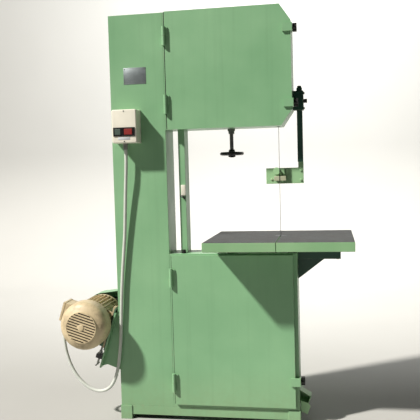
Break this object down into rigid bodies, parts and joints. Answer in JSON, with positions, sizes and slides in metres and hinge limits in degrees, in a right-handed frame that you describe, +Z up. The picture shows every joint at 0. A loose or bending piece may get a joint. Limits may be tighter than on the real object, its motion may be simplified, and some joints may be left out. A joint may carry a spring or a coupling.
{
  "type": "vertical band saw",
  "caption": "Floor-standing vertical band saw with a welded steel body, wheel boxes behind hinged doors, a cast table, a sliding blade guide and a belt-driven motor.",
  "frame": {"origin": "centre of the four floor anchor holes, at floor level", "axes": "+Z up, -Y towards the operator, +X to the operator's right"},
  "size_m": [1.5858, 0.68, 2.15],
  "materials": {
    "body_enamel": "green enamel, semi-gloss",
    "dark_enamel": "dark green enamel",
    "light_enamel": "light green enamel",
    "cast_painted": "painted casting",
    "cast_table": "machined, oiled",
    "cast_wheel": "turned casting",
    "black_iron": "black paint",
    "aluminium": "satin",
    "zinc_steel": "zinc plated",
    "machined_steel": "turned",
    "blade_steel": "spring steel",
    "cream_case": "cream enamel",
    "motor_beige": "beige enamel over cast iron",
    "black_plastic": "moulded",
    "start_plastic": "moulded",
    "stop_plastic": "moulded",
    "conduit_grey": "ribbed grey sleeve",
    "tyre_rubber": "ground rubber",
    "brush_wood": "plain wood"
  },
  "bodies": {
    "saw_frame": {"column": "body_enamel", "upper_box_back": "body_enamel", "upper_box_rim": "body_enamel", "lower_box_back": "body_enamel", "lower_box_rim": "body_enamel", "base_frame": "body_enamel", "blade_return_guard": "body_enamel", "table_supports": "dark_enamel", "table_top": "cast_table", "table_insert": "aluminium", "frame_fasteners": "zinc_steel", "hinge_lower_halves": "body_enamel", "nameplate": "aluminium", "starter_base": "cream_case", "starter_cover": "cream_case", "starter_bezel": "black_plastic", "starter_gland": "zinc_steel", "blade": "blade_steel", "shaft_housing": "cast_painted", "tension_slides": "machined_steel", "guide_post_housing": "dark_enamel", "lower_guide": "cast_painted", "wheel_brush": "brush_wood", "sawdust_chute": "light_enamel", "motor_bracket": "body_enamel", "belt_guard": "body_enamel", "conduit": "conduit_grey"},
    "upper_door": {"upper_door": "body_enamel"},
    "lower_door": {"lower_door": "body_enamel"},
    "upper_top_latch": {"upper_top_latch": "black_plastic"},
    "upper_bottom_latch": {"upper_bottom_latch": "black_plastic"},
    "lower_latch": {"lower_latch": "black_plastic"},
    "tension_carriage": {"tension_carriage": "cast_painted", "tension_spring": "machined_steel"},
    "tension_screw": {"tension_screw": "machined_steel", "tension_handwheel": "black_iron"},
    "tilt_block": {"tilt_block": "machined_steel"},
    "tracking_knob": {"tracking_knob": "black_plastic"},
    "upper_wheel": {"upper_wheel": "cast_wheel", "upper_tyre": "tyre_rubber", "upper_wheel_bearings": "machined_steel"},
    "drive_shaft": {"lower_wheel": "cast_wheel", "lower_tyre": "tyre_rubber", "lower_shaft": "machined_steel", "driven_pulley": "cast_wheel"},
    "motor": {"motor_frame": "motor_beige", "fan_cowl": "motor_beige", "terminal_box": "motor_beige", "motor_base": "cast_painted"},
    "motor_shaft": {"motor_shaft": "machined_steel", "motor_pulley": "cast_wheel"},
    "adjusting_screw": {"adjusting_screw": "machined_steel"},
    "belts": {"belts": "tyre_rubber"},
    "guide": {"guide_post": "dark_enamel", "guide_arm": "light_enamel"},
    "upper_thrust_disc": {"upper_thrust_disc": "machined_steel"},
    "lower_thrust_disc": {"lower_thrust_disc": "machined_steel"},
    "guide_lock_knob": {"guide_lock_knob": "zinc_steel"},
    "start_button": {"start_button": "start_plastic"},
    "stop_button": {"stop_button": "stop_plastic"}
  },
  "joints": [
    {"name": "upper_door_swing", "type": "hinge", "parent": "saw_frame", "child": "upper_door", "pos_m": [-0.178, -0.237, 1.85], "axis": [0, 0, -1], "range_deg": [0, 110]},
    {"name": "lower_door_swing", "type": "hinge", "parent": "saw_frame", "child": "lower_door", "pos_m": [-0.178, -0.237, 0.49], "axis": [0, 0, -1], "range_deg": [0, 110]},
    {"name": "upper_top_latch_turn", "type": "hinge", "parent": "upper_door", "child": "upper_top_latch", "pos_m": [0.49, -0.198, 2.033], "axis": [1, 0, 0], "range_deg": [0, 1080]},
    {"name": "upper_bottom_latch_turn", "type": "hinge", "parent": "upper_door", "child": "upper_bottom_latch", "pos_m": [0.49, -0.198, 1.66], "axis": [1, 0, 0], "range_deg": [0, 1080]},
    {"name": "lower_latch_turn", "type": "hinge", "parent": "lower_door", "child": "lower_latch", "pos_m": [0.49, -0.198, 0.231], "axis": [1, 0, 0], "range_deg": [0, 1080]},
    {"name": "carriage_slide", "type": "slide", "parent": "saw_frame", "child": "tension_carriage", "axis": [0, 0, 1], "range_m": [-0.04, 0]},
    {"name": "tension_turn", "type": "hinge", "parent": "saw_frame", "child": "tension_screw", "pos_m": [0.139, -0.075, 1.415], "axis": [0, 0, 1], "range_deg": [-20, 3620]},
    {"name": "tracking_tilt", "type": "hinge", "parent": "tension_carriage", "child": "tilt_block", "pos_m": [0.139, -0.082, 1.85], "axis": [1, 0, 0], "range_deg": [-0.6, 0.6]},
    {"name": "tracking_turn", "type": "hinge", "parent": "tension_carriage", "child": "tracking_knob", "pos_m": [0.139, -0.022, 1.815], "axis": [0, 1, 0], "range_deg": [-80, 80]},
    {"name": "upper_wheel_spin", "type": "hinge", "parent": "tilt_block", "child": "upper_wheel", "pos_m": [0.139, -0.128, 1.85], "axis": [0, 1, 0], "continuous": true},
    {"name": "lower_wheel_spin", "type": "hinge", "parent": "saw_frame", "child": "drive_shaft", "pos_m": [0.139, -0.128, 0.59], "axis": [0, 1, 0], "continuous": true},
    {"name": "motor_slide", "type": "slide", "parent": "saw_frame", "child": "motor", "axis": [0.3057, 0, 0.9521], "range_m": [0, 0.012]},
    {"name": "adjusting_turn", "type": "hinge", "parent": "motor", "child": "adjusting_screw", "pos_m": [-0.62678, -0.12, 0.31534], "axis": [0.3057, 0, 0.9521], "range_deg": [-10, 2480]},
    {"name": "motor_shaft_spin", "type": "hinge", "parent": "motor", "child": "motor_shaft", "pos_m": [-0.638, -0.11, 0.529], "axis": [0, 1, 0], "continuous": true},
    {"name": "belts_swing", "type": "hinge", "parent": "saw_frame", "child": "belts", "pos_m": [0.139, 0.063, 0.59], "axis": [0, 1, 0], "range_deg": [-0.1, 1]},
    {"name": "guide_slide", "type": "slide", "parent": "saw_frame", "child": "guide", "axis": [0, 0, 1], "range_m": [-0.02, 0.2]},
    {"name": "upper_disc_spin", "type": "hinge", "parent": "guide", "child": "upper_thrust_disc", "pos_m": [0.3777, -0.11, 1.317], "axis": [0, 1, 0], "continuous": true},
    {"name": "lower_disc_spin", "type": "hinge", "parent": "saw_frame", "child": "lower_thrust_disc", "pos_m": [0.3777, -0.11, 0.87], "axis": [0, 1, 0], "continuous": true},
    {"name": "guide_lock_turn", "type": "hinge", "parent": "saw_frame", "child": "guide_lock_knob", "pos_m": [0.528, -0.112, 1.674], "axis": [1, 0, 0], "range_deg": [-180, 180]},
    {"name": "start_button_press", "type": "slide", "parent": "saw_frame", "child": "start_button", "axis": [0, 1, 0], "range_m": [0, 0.004], "stiffness_N_per_m": 500, "springref_m": -0.002},
    {"name": "stop_button_press", "type": "slide", "parent": "saw_frame", "child": "stop_button", "axis": [0, 1, 0], "range_m": [0, 0.004], "stiffness_N_per_m": 500, "springref_m": -0.002}
  ],
  "couplings": [
    {"joint": "tension_turn", "follows": "carriage_slide", "rad_per_m": -1570.8},
    {"joint": "tracking_turn", "follows": "tracking_tilt", "ratio": 125.65},
    {"joint": "upper_wheel_spin", "follows": "lower_wheel_spin", "ratio": 1},
    {"joint": "motor_shaft_spin", "follows": "lower_wheel_spin", "ratio": 2},
    {"joint": "adjusting_turn", "follows": "motor_slide", "rad_per_m": 3590.4},
    {"joint": "belts_swing", "follows": "motor_slide", "rad_per_m": 1.187}
  ]
}
